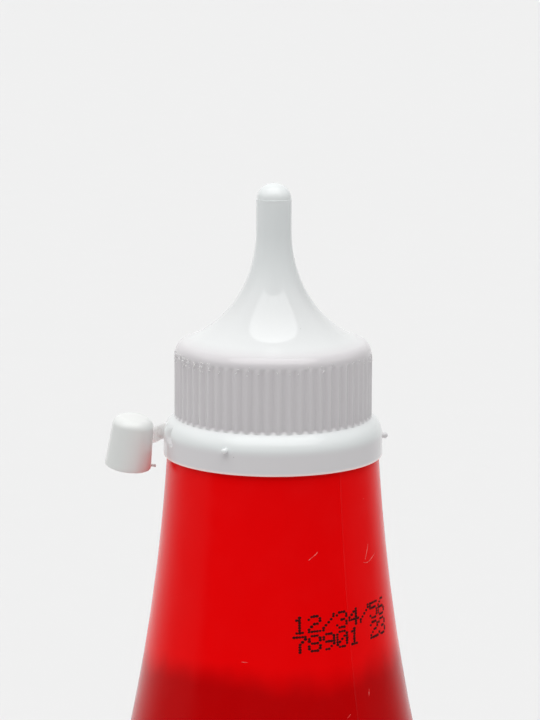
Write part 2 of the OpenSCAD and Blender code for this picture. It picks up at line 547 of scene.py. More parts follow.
def lathe(outline, steps):
    """Closed solid of revolution about Z, from an outline that starts and ends on the axis."""
    bm = bmesh.new()
    verts = [bm.verts.new((r, 0, z)) for r, z in outline]
    edges = [bm.edges.new(pair) for pair in zip(verts, verts[1:])]
    # One sector is spun, and then doubled until it closes.
    doublings = 4
    while steps % 2**doublings:
        doublings -= 1
    turn = math.tau / 2**doublings
    bmesh.ops.spin(
        bm,
        geom=verts + edges,
        cent=(0, 0, 0),
        axis=(0, 0, 1),
        dvec=(0, 0, 0),
        angle=turn,
        steps=steps // 2**doublings,
        use_merge=doublings == 0,
        use_normal_flip=False,
        use_duplicate=False,
    )
    for _ in range(doublings):
        copy = bmesh.ops.duplicate(bm, geom=bm.verts[:] + bm.edges[:] + bm.faces[:])["geom"]
        bmesh.ops.rotate(
            bm,
            cent=(0, 0, 0),
            matrix=Matrix.Rotation(turn, 3, "Z"),
            verts=[g for g in copy if isinstance(g, bmesh.types.BMVert)],
        )
        turn *= 2
    bmesh.ops.remove_doubles(bm, verts=bm.verts, dist=1e-4)
    bmesh.ops.recalc_face_normals(bm, faces=bm.faces)
    return bm


def add_lathe(bm, outline, steps, place):
    """Adds a small turned solid to a bmesh, moved into place."""
    part = lathe(outline, steps)
    bmesh.ops.transform(part, matrix=place, verts=part.verts)
    mesh = bpy.data.meshes.new("turned")
    part.to_mesh(mesh)
    part.free()
    bm.from_mesh(mesh)
    bpy.data.meshes.remove(mesh)


def sweep(bm, places, segments=16, squareness=5.0):
    """Closed band whose rounded section, 2 wide and 2 high, is carried through the places."""
    ring = bmesh.ops.create_circle(bm, cap_ends=False, segments=segments, radius=1)["verts"]
    for v in ring:
        angle = math.atan2(v.co.y, v.co.x)
        c, s = math.cos(angle), math.sin(angle)
        reach = (abs(c) ** squareness + abs(s) ** squareness) ** (-1 / squareness)
        v.co = Vector((c * reach, 0, s * reach))
    bmesh.ops.transform(bm, matrix=places[0], verts=ring)
    edges = list({e for v in ring for e in v.link_edges})
    bmesh.ops.contextual_create(bm, geom=edges)
    for before, after in zip(places, places[1:]):
        made = bmesh.ops.extrude_edge_only(bm, edges=edges)["geom"]
        ring = [g for g in made if isinstance(g, bmesh.types.BMVert)]
        edges = [g for g in made if isinstance(g, bmesh.types.BMEdge) and len(g.link_faces) == 1]
        bmesh.ops.transform(bm, matrix=after @ before.inverted(), verts=ring)
    bmesh.ops.contextual_create(bm, geom=edges)


def piece_from(bm, name, material, replaces=None, sharp=35):
    """Turns a bmesh in millimetres into a finished piece that rides on the body."""
    bmesh.ops.scale(bm, vec=(MM, MM, MM), verts=bm.verts)
    mesh = bpy.data.meshes.new(name)
    bm.to_mesh(mesh)
    bm.free()
    mesh.shade_smooth()
    mesh.set_sharp_from_angle(angle=math.radians(sharp))
    mesh.materials.append(material)
    obj = bpy.data.objects.new(name, mesh)
    bpy.context.scene.collection.objects.link(obj)
    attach(obj, BODY)
    if replaces:
        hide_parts(replaces)


def polar(v):
    """Radius of a vertex, and its angle from the front, positive to the right."""
    angle = math.atan2(v.co.y, v.co.x) - FRONT
    return math.hypot(v.co.x, v.co.y), (angle + math.pi) % math.tau - math.pi


def set_polar(v, radius, angle):
    """Puts a vertex at a radius and an angle from the front."""
    v.co.x = radius * math.cos(FRONT + angle)
    v.co.y = radius * math.sin(FRONT + angle)


# ---------------------------------------------------------------- bottle outline


def flare_curve(b):
    """How fast the flare opens below its top."""
    widening = b.body_r - b.flare_blend - b.shoulder_r
    return (widening - math.tan(b.flare_top) * b.flare_len) / b.flare_len**2


def wall_radius(b, z):
    """Outer radius of the bottle's flare at a height."""
    t = b.ledge_z - z
    return b.shoulder_r + math.tan(b.flare_top) * t + flare_curve(b) * t * t


def wall_lean(b, z):
    """Angle by which the flare's surface leans up at a height."""
    t = b.ledge_z - z
    return math.atan(math.tan(b.flare_top) + 2 * flare_curve(b) * t)


def body_outline(b, inset, top, flare_rows):
    """Outline of the bottle from the middle of its base up its flare, drawn in by an inset."""
    end_z = b.ledge_z - b.flare_len
    end_angle = wall_lean(b, end_z)
    blend_r = b.flare_blend / (1 - math.cos(end_angle))
    blend = (b.body_r - blend_r, end_z - blend_r * math.sin(end_angle))
    foot_r = b.body_r - b.heel_r
    push_r = foot_r - b.foot_w
    points = [(push_r * k, b.pushup_h * (1 - k**2) + inset) for k in spread(0, 1, 8)]
    points += arc((foot_r, b.heel_r), b.heel_r - inset, -math.pi / 2, 0, 12)
    points += [(b.body_r - inset, z) for z in spread(b.heel_r, blend[1], 4)[1:-1]]
    points += arc(blend, blend_r - inset, 0, end_angle, 12)
    points += [(wall_radius(b, z) - inset, z) for z in spread(end_z, top, flare_rows)[1:]]
    return points


def on_wall(b, angle, z, out=0.0):
    """Place on the bottle's flare, X to the right, Y up the wall and Z outwards."""
    return (
        Matrix.Rotation(angle, 4, "Z")
        @ Matrix.Translation((0, -(wall_radius(b, z) + out), z))
        @ Matrix.Rotation(math.pi / 2 - wall_lean(b, z), 4, "X")
    )


# ---------------------------------------------------------------- materials

# Tints of the small patches in the finishes.
CHALKY = (0.95, 0.95, 0.95)
GREY_DIRT = (0.12, 0.11, 0.1)
# Painted glow of the red bottle on the collar's lower edge.
PAINTED_RED_GLOW = (0.98, 0.82, 0.8)
FLASH_DULL = (0.95, 0.94, 0.935)
FLASH_BRIGHT = (0.98, 0.98, 0.98)
CLOUDY_RED = (0.75, 0.002, 0.003)
PINK_DUST = (0.95, 0.3, 0.28)
SAUCE_STREAK = (0.5, 0.02, 0.008)
SAUCE_PULP = (0.28, 0.006, 0.004)
THIN_INK = (0.2, 0.004, 0.004)
SCUFF_PALE = (0.95, 0.25, 0.22)
SCUFF_RED = (0.85, 0.03, 0.03)

# The closure and the tip cap are of one plastic, but only the closure has red behind it, and only
# it gets painted shade and a painted red glow by height.
CLOSURE_WHITE = "satin_white"
TIP_CAP_WHITE = "satin_white_cap"


class Nodes:
    """Short way to build a node tree."""

    def __init__(self, tree):
        self.tree = tree
        tree.nodes.clear()

    def new(self, kind, inputs=None, **settings):
        """Adds a node; inputs are values or other nodes' sockets."""
        node = self.tree.nodes.new(kind)
        for key, value in settings.items():
            setattr(node, key, value)
        for key, value in (inputs or {}).items():
            if isinstance(value, bpy.types.NodeSocket):
                self.tree.links.new(value, node.inputs[key])
            else:
                node.inputs[key].default_value = value
        return node

    def math(self, operation, a, b=0.0, c=0.0):
        """Result of a math node."""
        return self.new("ShaderNodeMath", {0: a, 1: b, 2: c}, operation=operation).outputs[0]

    def plus(self, a, b):
        """Sum."""
        return self.math("ADD", a, b)

    def times(self, a, b):
        """Product."""
        return self.math("MULTIPLY", a, b)

    def between(self, factor, a, b):
        """Value between two values."""
        return self.math("MULTIPLY_ADD", factor, self.math("SUBTRACT", b, a), a)

    def blend(self, factor, a, b):
        """Colour between two colours."""
        a, b = (c if isinstance(c, bpy.types.NodeSocket) else (*c, 1.0) for c in (a, b))
        return self.new("ShaderNodeMix", {0: factor, 6: a, 7: b}, data_type="RGBA").outputs[2]

    def ramp(self, value, low, high, out_low=0.0, out_high=1.0, kind="SMOOTHSTEP"):
        """Eased change of a value from one range to another."""
        inputs = {0: value, 1: low, 2: high, 3: out_low, 4: out_high}
        return self.new("ShaderNodeMapRange", inputs, interpolation_type=kind).outputs[0]

    def rise(self, height, start, low, high, *out):
        """Eased change with height, from low to high in millimetres over the start."""
        return self.ramp(height, start + low * MM, start + high * MM, *out)

    def height(self, where):
        """Height of the point."""
        return self.new("ShaderNodeSeparateXYZ", {0: where}).outputs[2]

    def stretched(self, where, scale):
        """Coordinates scaled by axis."""
        return self.new("ShaderNodeMapping", {"Vector": where, "Scale": scale}).outputs[0]

    def noise(self, where, scale, detail=2.0, roughness=0.5):
        """Noise value."""
        inputs = {"Vector": where, "Scale": scale, "Detail": detail, "Roughness": roughness}
        return self.new("ShaderNodeTexNoise", inputs).outputs[0]

    def specks(self, where, spacing, size, share):
        """Mask of small sparse specks, spacing and size in millimetres."""
        scale = 1 / (spacing * MM)
        cells = self.new("ShaderNodeTexVoronoi", {"Vector": where, "Scale": scale}, feature="F1")
        red = self.new("ShaderNodeSeparateColor", {0: cells.outputs[1]}).outputs[0]
        near = self.ramp(cells.outputs[0], size / spacing, 0.4 * size / spacing)
        return self.times(near, self.math("LESS_THAN", red, share))

    def bump(self, height, strength, distance):
        """Normals bent by a height, with the distance in millimetres."""
        inputs = {"Height": height, "Strength": strength, "Distance": distance * MM}
        return self.new("ShaderNodeBump", inputs).outputs[0]

    def plastic(self, colour, rough, others=None):
        """Shader of a coloured surface."""
        inputs = {"Base Color": colour, "Roughness": rough, **(others or {})}
        return self.new("ShaderNodeBsdfPrincipled", inputs).outputs[0]

    def lit_through(self, shader, share, inputs):
        """Shader that lets a share of the light through."""
        glow = self.new("ShaderNodeBsdfTranslucent", inputs).outputs[0]
        return self.new("ShaderNodeMixShader", {0: share, 1: shader, 2: glow}).outputs[0]

    def surface(self, shader):
        """Links a shader to the material's output."""
        self.new("ShaderNodeOutputMaterial", {"Surface": shader})


def new_material(name):
    """Empty material, its nodes and its Object coordinates."""
    material = bpy.data.materials.new(name)
    material.use_nodes = True
    nodes = Nodes(material.node_tree)
    return material, nodes, nodes.new("ShaderNodeTexCoord").outputs["Object"]


def shared_material(name, make, *values):
    """The material of that name, made on first use."""
    return bpy.data.materials.get(name) or make(name, *values)


def closure_tone_with_painted_shade(nodes, height, finish, closure):
    """White of the closure by height, with painted shade on the collar's side, the skirt and the
    nozzle's flare, and a painted pink glow where the red bottle is behind or below it.
    """
    edge, top = closure.collar_z, closure.skirt_top
    # Painted shade: the collar's side is darker, and its rounded top is white.
    tone = nodes.blend(nodes.rise(height, edge, 3.7, 5.7), finish.collar, finish.white)
    # Painted shade over the ribbed skirt.
    tone = nodes.blend(nodes.rise(height, edge, 7.8, 8.8), tone, finish.skirt)
    # Painted shade: the nozzle's flare is darker than its thin end, which light from the red neck
    # no longer reaches.
    nozzle = nodes.blend(nodes.rise(height, top, 8.6, 22.6), finish.flare, finish.white)
    tone = nodes.blend(nodes.rise(height, top, 1.7, 3.8), tone, nozzle)
    # Painted glow: the collar's lower edge is tinted pink as if lit by the red below it.
    return nodes.blend(nodes.rise(height, edge, 0.65, 0.15), tone, PAINTED_RED_GLOW)


def white_material(name, finish, closure):
    """Satin white moulded plastic, glossy over the skirt."""
    material, nodes, where = new_material(name)
    height = nodes.height(where)
    tone = finish.tip_cap
    if name == CLOSURE_WHITE:
        tone = closure_tone_with_painted_shade(nodes, height, finish, closure)
    cloud = nodes.noise(where, 90.0, 3.0)
    paler = nodes.blend(nodes.ramp(cloud, 0.3, 0.7, 0.0, 0.05), tone, CHALKY)
    dirt = nodes.times(nodes.specks(where, 2.8, 0.13, 0.16), 0.45)
    colour = nodes.blend(dirt, paler, GREY_DIRT)
    uneven = nodes.ramp(nodes.noise(where, 420.0, 3.0), 0.3, 0.7, -0.012, 0.012)
    rough = nodes.plus(nodes.rise(height, closure.skirt_top, 1.0, 1.6, 0.19, 0.035), uneven)
    bump = nodes.bump(nodes.noise(where, 700.0), 0.2, 0.008)
    nodes.surface(nodes.plastic(colour, rough, {"IOR": 1.49, "Normal": bump}))
    return material


def flash_material(name):
    """The same plastic where it is thin and lets light through."""
    material, nodes, where = new_material(name)
    cloud = nodes.noise(where, 900.0)
    colour = nodes.blend(nodes.ramp(cloud, 0.3, 0.7), FLASH_DULL, FLASH_BRIGHT)
    gloss = nodes.plastic(colour, nodes.ramp(cloud, 0.3, 0.7, 0.22, 0.34))
    nodes.surface(nodes.lit_through(gloss, 0.25, {"Color": colour}))
    return material


def wall_material(name, finish, level):
    """Glossy translucent red wall: its bright red over the air is painted light shining through it,
    and it is darker where the sauce is behind it.
    """
    material, nodes, where = new_material(name)
    height = nodes.height(where)
    # A film of sauce clings in an uneven edge above the level.
    wave = nodes.noise(nodes.stretched(where, (1, 1, 0.5)), 42.0, 3.0, 0.55)
    edge = nodes.math("MULTIPLY_ADD", nodes.math("SUBTRACT", wave, 0.5), 16 * MM, height)
    # Painted glow: above the sauce the wall takes a bright red that stands in for light shining
    # through it.
    colour = nodes.blend(nodes.rise(edge, level, 5, -2), finish.headspace_glow, finish.backed)
    cloud = nodes.noise(nodes.stretched(where, (1, 1, 0.25)), 60.0, 4.0)
    colour = nodes.blend(nodes.ramp(cloud, 0.35, 0.7, 0.0, 0.16), colour, CLOUDY_RED)
    dust = nodes.times(nodes.specks(where, 4.5, 0.11, 0.3), 0.6)
    colour = nodes.blend(dust, colour, PINK_DUST)
    # Faint rings left by the blowing, low on the flare.
    rings = nodes.noise(nodes.stretched(where, (0.02, 0.02, 1)), 2600.0, 2.0, 0.7)
    rings = nodes.times(rings, nodes.rise(height, level, 12, -4))
    peel = nodes.noise(where, 520.0, 3.0)
    waves = nodes.noise(nodes.stretched(where, (1, 1, 0.3)), 70.0)
    relief = nodes.plus(nodes.times(waves, 1.2), nodes.times(rings, 0.5))
    bump = nodes.bump(nodes.plus(nodes.times(peel, 0.25), relief), 0.25, 0.08)
    rough = nodes.ramp(nodes.noise(where, 160.0, 4.0), 0.3, 0.7, 0.17, 0.24)
    gloss = nodes.plastic(colour, rough, {"IOR": 1.5, "Specular IOR Level": 0.2, "Normal": bump})
    nodes.surface(nodes.lit_through(gloss, 0.08, {"Color": colour, "Normal": bump}))
    return material


def sauce_material(name, finish):
    """Thick wet sauce, deep red with a fine pulp."""
    material, nodes, where = new_material(name)
    pulp = nodes.noise(where, 900.0, 4.0, 0.65)
    streaks = nodes.noise(nodes.stretched(where, (1, 1, 0.35)), 80.0, 3.0)
    colour = nodes.blend(nodes.ramp(streaks, 0.3, 0.75, 0.0, 0.5), finish.sauce, SAUCE_STREAK)
    colour = nodes.blend(nodes.ramp(pulp, 0.55, 0.8, 0.0, 0.35), colour, SAUCE_PULP)
    rough = nodes.ramp(streaks, 0.3, 0.7, 0.14, 0.3)
    bump = nodes.bump(pulp, 0.4, 0.1)
    nodes.surface(nodes.plastic(colour, rough, {"IOR": 1.4, "Normal": bump}))
    return material


def ink_material(name, finish):
    """Flat black ink, thin in places."""
    material, nodes, where = new_material(name)
    thin = nodes.ramp(nodes.noise(where, 2200.0, 3.0), 0.4, 0.7, 0.0, 0.35)
    colour = nodes.blend(thin, finish.ink, THIN_INK)
    rough = nodes.ramp(nodes.noise(where, 1500.0), 0.3, 0.7, 0.5, 0.7)
    nodes.surface(nodes.plastic(colour, rough, {"Specular IOR Level": 0.12}))
    return material


def scuff_material(name):
    """Pale raised edge of a scratch in the red wall."""
    material, nodes, where = new_material(name)
    broken = nodes.ramp(nodes.noise(where, 1800.0, 3.0), 0.35, 0.65)
    colour = nodes.blend(broken, SCUFF_PALE, SCUFF_RED)
    nodes.surface(nodes.plastic(colour, nodes.ramp(broken, 0.0, 1.0, 0.35, 0.6, "LINEAR")))
    return material


# ---------------------------------------------------------------- bottle and sauce


class SAUCEBOTTLE_OT_wall(Operator):
    """Make the blown red bottle with its mould line"""

    bl_idname = "sauce_bottle.wall"
    bl_label = "Bottle wall"

    columns = 224
    rim_bevel = 0.3
    # How far from the mould line its nearest columns are drawn.
    drawn = {-2: -0.4, -1: -0.14, 0: 0.0, 1: 0.14, 2: 0.4}

    def execute(self, context):
        scene = context.scene
        b = in_mm(scene.sauce_bottle_sizes)
        bm = lathe(self.outline(b), self.columns)
        self.raise_mould_line(bm, b)
        level = scene.sauce_bottle_fill.level
        red = shared_material("translucent_red", wall_material, scene.sauce_bottle_finishes, level)
        piece_from(bm, "bottle_wall", red, replaces="bottle", sharp=40)
        return {"FINISHED"}

    def outline(self, b):
        """Up the outside, round the ledge, over the neck's rim and down the inside."""
        top = b.ledge_z - b.ledge_round
        edge = (wall_radius(b, top) - b.ledge_round, top)
        mouth_r = b.neck_r - b.neck_wall
        points = body_outline(b, 0, top, 44)[:-1]
        points += arc(edge, b.ledge_round, 0, math.pi / 2, 5)
        points += [(b.neck_r, z) for z in spread(b.ledge_z, b.neck_top - self.rim_bevel, 4)]
        points += [(b.neck_r - self.rim_bevel, b.neck_top), (mouth_r, b.neck_top)]
        points += [(mouth_r, b.ledge_z - b.wall)]
        return points + body_outline(b, b.wall, b.ledge_z - b.wall, 24)[::-1]

    def raise_mould_line(self, bm, b):
        """Draws the nearest columns together on both mould lines and lifts the middle ones."""
        column = math.tau / self.columns
        half = self.columns // 2
        for turn in (b.seam_turn, b.seam_turn - math.pi):
            middle = round(turn / column)
            for v in bm.verts:
                radius, angle = polar(v)
                place = (round(angle / column) - middle + half) % self.columns - half
                if radius < 1 or place not in self.drawn:
                    continue
                proud = b.seam_proud if place == 0 and v.co.z > b.heel_r else 0
                set_polar(v, radius + proud, turn + self.drawn[place] / radius)


class SAUCEBOTTLE_OT_fill(Operator):
    """Make the sauce, which reaches into the wall and clings unevenly above its level"""

    bl_idname = "sauce_bottle.fill"
    bl_label = "Sauce"

    # The surface from its edge inwards: distance from the edge, and height over the level.
    dips = ((0.05, 0.3), (0.9, 0.1), (2.2, -0.4))
    middle_dip = 0.6
    # Waves of the clinging edge: how many there are round it, their phase and their height.
    waves = ((2, 1.0, 1.0), (5, 2.2, 0.7), (9, 0.4, 0.5), (23, 0.0, 0.3))
    wave_depth = 3.5
    wave_fade = 3.0
    wave_reach = 2.0

    def execute(self, context):
        scene = context.scene
        b = in_mm(scene.sauce_bottle_sizes)
        f = in_mm(scene.sauce_bottle_fill)
        inset = b.wall - f.into_wall
        edge_r = wall_radius(b, f.level) - inset
        outline = body_outline(b, inset, f.level, 20)
        outline += [(edge_r - inwards, f.level + over) for inwards, over in self.dips]
        middle_z = f.level - self.middle_dip
        outline += [(edge_r * share, middle_z) for share in (0.8, 0.55, 0.3, 0.1, 0)]
        bm = lathe(outline, 160)
        foot_z = f.level - self.wave_depth
        for v in bm.verts:
            radius, angle = polar(v)
            if v.co.z > foot_z and radius > edge_r - self.wave_reach:
                wave = sum(size * math.sin(n * angle + phase) for n, phase, size in self.waves)
                v.co.z += f.smear * wave * smooth((v.co.z - foot_z) / self.wave_fade)
        sauce = shared_material("tomato_sauce", sauce_material, scene.sauce_bottle_finishes)
        piece_from(bm, "ketchup_fill", sauce, replaces="ketchup")
        return {"FINISHED"}


# ---------------------------------------------------------------- closure


def collar_rounding(c):
    """Height and radius of the middle of the collar's rounding, its turn, and where it ends."""
    side_z = c.collar_z + c.collar_side
    centre_r = c.collar_r - c.collar_round
    turn = math.acos((c.skirt_r - centre_r) / c.collar_round)
    return side_z, centre_r, turn, side_z + c.collar_round * math.sin(turn)


def nozzle_reach(c):
    """Half axis of the nozzle's flare outwards, and the turn of the shoulder that it meets."""
    band_r = c.skirt_r - c.rib_step
    reach = band_r
    # Each round brings the two surfaces nearer to meeting without a kink.
    for _ in range(12):
        fall = c.nozzle_rise * math.cos(c.nozzle_turn)
        meet = math.atan2(fall, reach * math.sin(c.nozzle_turn))
        width = band_r - c.shoulder_round * (1 - math.sin(meet)) - c.stem_r
        reach = width / (1 - math.cos(c.nozzle_turn))
    return reach, math.pi / 2 - meet


def nozzle_flare(c, reach, top_r, top_z, turns):
    """Points on the nozzle's flare, a part of an ellipse, from its radius and height at the top."""
    return [(top_r + reach * (1 - math.cos(a)), top_z - c.nozzle_rise * math.sin(a)) for a in turns]


class SAUCEBOTTLE_OT_closure(Operator):
    """Make the white closure: collar, ribbed skirt and nozzle in one moulding"""

    bl_idname = "sauce_bottle.closure"
    bl_label = "Closure"

    # Inside: thickness of the tip over the channel, the channel's radius there and where its
    # flare starts, how far under the stem that is, and the bevel at the lower edge.
    tip_wall = 4.8
    channel_r = 1.2
    channel_foot_r = 2.0
    channel_drop = 1.0
    inner_bevel = 0.2
    # Rows of the skirt, over its foot and under its top.
    foot_rows = (0.12, 0.24, 0.36, 0.48, 0.6, 0.75, 0.95, 1.6, 4, 7, 10)
    top_rows = (1.2, 0.8, 0.5, 0.3, 0.15)
    # Parting line of the mould under the domed end, and the step that the dome is set in.
    line_proud = 0.03
    line_gap = 0.06
    line_h = 0.05
    dome_step = 0.1
    dome_start = 0.06
    columns_per_rib = 8
    # Ribs: how thick the skin is that they are cut in, and how far over the skirt it goes.
    skin = 0.4
    skin_over = 0.9
    # Crests: how narrow they are, how far over the skirt they end, and their round tops.
    crest_power = 1.6
    crest_over = 0.5
    crest_share = 0.12
    crest_sag = 0.35
    crest_round = 0.45
    round_under = 1.0
    # Grooves: the heights over which they start and end, and how far under the crests.
    groove_start = 0.62
    groove_end = 1.0
    groove_under = 0.15
    # Pocket: its ends under and over the collar's side, how deep it is and how it ends.
    pocket_low = -1.9
    pocket_high = 3.0
    pocket_depth = 1.25
    pocket_power = 0.8
    pocket_fade = 3.2
    # Its step and the strap's side, as degrees from the front to the left at the collar's
    # side, and what each millimetre upwards adds to them.
    pocket_step = (66.94, 1.6)
    pocket_side_under = (79.5, 11.5)
    pocket_side_over = (80.0, 2.4)
    # Stubs: angle round the axis, and height over the lower edge.
    stubs = ((-25, 5.0), (95, 3.4), (-145, 4.2))

    def execute(self, context):
        scene = context.scene
        b = in_mm(scene.sauce_bottle_sizes)
        c = in_mm(scene.sauce_bottle_closure)
        outline = self.inside(b, c) + self.collar_and_skirt(c) + self.nozzle(c)
        bm = lathe(outline, c.rib_count * self.columns_per_rib)
        self.cut_ribs(bm, c)
        self.cut_pocket(bm, c)
        self.add_stubs(bm, c)
        looks = (scene.sauce_bottle_finishes, scene.sauce_bottle_closure)
        white = shared_material(CLOSURE_WHITE, white_material, *looks)
        piece_from(bm, "closure_moulding", white, replaces="closure", sharp=50)
        return {"FINISHED"}

    def inside(self, b, c):
        """From the channel's shut end down its flare, past the neck and to the lower edge."""
        reach = nozzle_reach(c)[0]
        top_z = c.nozzle_top - c.dome_h - c.stem_h - self.channel_drop
        side_z = c.collar_z + c.collar_side
        wall_r = c.collar_r - c.collar_wall
        mouth_r = b.neck_r - b.neck_wall
        end = math.acos(1 - (mouth_r - self.channel_foot_r) / reach)
        points = [(r, c.nozzle_top - self.tip_wall) for r in (0, self.channel_r)]
        points += nozzle_flare(c, reach, self.channel_foot_r, top_z, spread(0, end, 10))
        points += [(mouth_r, b.neck_top), (c.bore_r, b.neck_top), (c.bore_r, side_z)]
        points += [(wall_r, side_z), (wall_r, c.collar_z + self.inner_bevel)]
        return points + [(wall_r + self.inner_bevel, c.collar_z)]

    def collar_and_skirt(self, c):
        """From the collar's lower edge round its top and up to the top of the ribs."""
        side_z, centre_r, turn, foot_z = collar_rounding(c)
        points = [(c.collar_r - c.collar_bevel, c.collar_z)]
        points += [(c.collar_r, z) for z in spread(c.collar_z + c.collar_bevel, side_z, 10)[:-1]]
        points += arc((centre_r, side_z), c.collar_round, 0, turn, 16)
        points += [(c.skirt_r, foot_z + row) for row in self.foot_rows]
        return points + [(c.skirt_r, c.skirt_top - row) for row in self.top_rows]

    def nozzle(self, c):
        """From the shoulder's rounding up the flare and the stem to the top of the dome."""
        reach, turn_up = nozzle_reach(c)
        dome_z = c.nozzle_top - c.dome_h
        stem_z = dome_z - c.stem_h
        rounding = (c.skirt_r - c.rib_step - c.shoulder_round, c.skirt_top)
        points = arc(rounding, c.shoulder_round, 0, turn_up, 18)
        points += nozzle_flare(c, reach, c.stem_r, stem_z, spread(c.nozzle_turn, 0, 34)[1:])
        points += [(c.stem_r, z) for z in spread(stem_z, dome_z - self.line_gap, 4)[1:]]
        dome_r = c.stem_r - self.dome_step
        low_z = dome_z + self.line_h
        points += [(c.stem_r + self.line_proud, dome_z), (dome_r, low_z)]
        points += [
            (dome_r * math.cos(a), low_z + (c.dome_h - self.line_h) * math.sin(a))
            for a in spread(self.dome_start, math.pi / 2, 12)[:-1]
        ]
        return points + [(0, c.nozzle_top)]

    def cut_ribs(self, bm, c):
        """Draws the skirt's columns in between the ribs, with rounded ends above and below."""
        foot_z = collar_rounding(c)[3]
        top_z = c.skirt_top + self.skin_over
        crest_z = c.skirt_top + self.crest_over
        groove_z = crest_z - self.groove_under
        for v in bm.verts:
            radius, angle = polar(v)
            z = v.co.z
            if radius < c.skirt_r - self.skin or not foot_z - 0.01 < z < top_z:
                continue
            crest = abs(math.sin(c.rib_count * angle / 2)) ** self.crest_power
            band = radius if z > c.skirt_top else c.skirt_r - c.rib_step
            low = clamp((z - foot_z) / self.groove_start)
            high = smooth((groove_z - z) / self.groove_end)
            groove = c.skirt_r - c.rib_depth * (1 - crest) * low
            groove = groove * high + band * (1 - high)
            # The crest ends in a small round top.
            tip = crest_z - self.crest_sag * (1 - crest)
            left = clamp((tip - z) / self.crest_round)
            ridge = band + (groove - band) * math.sqrt(1 - (1 - left) ** 2)
            on_crest = crest > self.crest_share and z > c.skirt_top - self.round_under
            set_polar(v, ridge if on_crest else groove, angle)

    def cut_pocket(self, bm, c):
        """Sinks the scooped pocket in front of the strap's root."""
        side_z = c.collar_z + c.collar_side
        for v in bm.verts:
            radius, angle = polar(v)
            rise = v.co.z - side_z
            outside = radius >= c.collar_r - c.collar_wall
            if not outside or not self.pocket_low < rise < self.pocket_high:
                continue
            turn = -math.degrees(angle)
            side_line = self.pocket_side_under if rise < 0 else self.pocket_side_over
            step, side = (start + slope * rise for start, slope in (self.pocket_step, side_line))
            if not step < turn < side:
                continue
            share = (side - turn) / max(side - step, 1)
            ends = smooth(rise - self.pocket_low)
            ends *= smooth((self.pocket_high - rise) / self.pocket_fade)
            set_polar(v, radius - self.pocket_depth * share**self.pocket_power * ends, angle)

    def add_stubs(self, bm, c):
        """Adds the short stubs left by the mould on the collar."""
        root = 1.0
        side = root + c.nub_len - c.nub_r
        outline = [(0, 0), (c.nub_r, 0)] + arc((0, side), c.nub_r, 0, math.pi / 2, 6)[:-1]
        outline += [(0, side + c.nub_r)]
        for turn, over in self.stubs:
            place = (
                Matrix.Rotation(math.radians(turn), 4, "Z")
                @ Matrix.Translation((0, root - c.collar_r, c.collar_z + over))
                @ Matrix.Rotation(math.pi / 2, 4, "X")
            )
            add_lathe(bm, outline, 20, place)


class SAUCEBOTTLE_OT_flecks(Operator):
    """Make the fine slivers of flash that hang at the ends of the ribs"""

    bl_idname = "sauce_bottle.flecks"
    bl_label = "Flash slivers"

    count = 150
    # Heights over the skirt's top that they gather at, and lengths for a width of 1.
    gathered = (0.25, 0.1, -0.3, -0.9)
    lengths = (1.2, 2.5, 5.0)

    def execute(self, context):
        c = in_mm(context.scene.sauce_bottle_closure)
        pick = random.Random(58)
        bm = bmesh.new()
        for _ in range(self.count):
            bmesh.ops.create_icosphere(bm, subdivisions=1, radius=1, matrix=self.place(c, pick))
        flash = shared_material("pale_flash", flash_material)
        piece_from(bm, "flash_slivers", flash, sharp=180)
        return {"FINISHED"}

    def place(self, c, pick):
        """Flattens a ball into a sliver at the end of a groove."""
        pitch = math.tau / c.rib_count
        # Most of them are on the left of the front.
        turn = math.radians(pick.choice((pick.uniform(-88, -40), pick.uniform(-180, 180))))
        turn = (round(turn / pitch - 0.5) + 0.5) * pitch + pick.uniform(-0.3, 0.3) * pitch
        z = c.skirt_top + pick.choice(self.gathered) + pick.uniform(-0.6, 0.35)
        width = pick.uniform(0.05, 0.1)
        length = width * pick.choice(self.lengths)
        # The skirt's own surface narrows over the ribs.
        radius = c.skirt_r - (0.02 if z < c.skirt_top else 0.2)
        return (
            Matrix.Rotation(turn, 4, "Z")
            @ Matrix.Translation((0, -radius, z))
            @ Matrix.Rotation(math.pi / 2 - pick.uniform(0.0, 0.35), 4, "X")
            @ Matrix.Rotation(pick.gauss(0, 1.1), 4, "Z")
            @ Matrix.Diagonal((width, length, width * 1.6, 1))
        )


# ---------------------------------------------------------------- strap and tip cap

# Line of the strap in millimetres and degrees: its straight runs, its bend and its drop.
STRAP_START = (-23.19, -5.78, 213.8)
STRAP_OUT = 24.0
STRAP_BACK = 13.3
STRAP_BEND_R = 2.51
STRAP_TURN = 177.0
STRAP_HEADING = 104.0
STRAP_DROP = 5.4
STRAP_STEP = 0.8
STRAP_BEND_STEP = 0.35
STRAP_END_GAP = 0.3
# Where the strap grows out of the collar: angle from the front to the left, radius,
# share of the full height, drop and heading.
STRAP_ROOT = ((83, 22.2, 0.7, 1.5, 108), (86.5, 22.9, 0.95, 1.15, 116))
STRAP_ROOT_END_Y = 3.0
CAP_CENTRE = (-30.18, -2.57, 210.4)
CAP_LEAN_X = math.radians(8)
CAP_LEAN_Y = math.radians(7.3)


def strap_line():
    """Middle and heading, in degrees, of the strap at steps along it."""
    bend_len = math.radians(STRAP_TURN) * STRAP_BEND_R
    whole = STRAP_OUT + bend_len + STRAP_BACK
    x, y, start_z = STRAP_START
    line = []
    along = 0.0
    while True:
        heading = STRAP_HEADING + clamp((along - STRAP_OUT) / bend_len) * STRAP_TURN
        z = start_z - STRAP_DROP * (1 - (1 - along / whole) ** 4)
        line.append((Vector((x, y, z)), heading))
        if along >= whole - STRAP_END_GAP:
            return line
        step = STRAP_BEND_STEP if STRAP_OUT < along < STRAP_OUT + bend_len else STRAP_STEP
        x += math.cos(math.radians(heading)) * step
        y += math.sin(math.radians(heading)) * step
        along += step


def across_strap(middle, heading, thick, high):
    """Carries a section, across its X and up its Z, to a point on the strap's line."""
    return (
        Matrix.Translation(middle)
        @ Matrix.Rotation(math.radians(heading - 90), 4, "Z")
        @ Matrix.Diagonal((thick / 2, 1, high / 2, 1))
    )


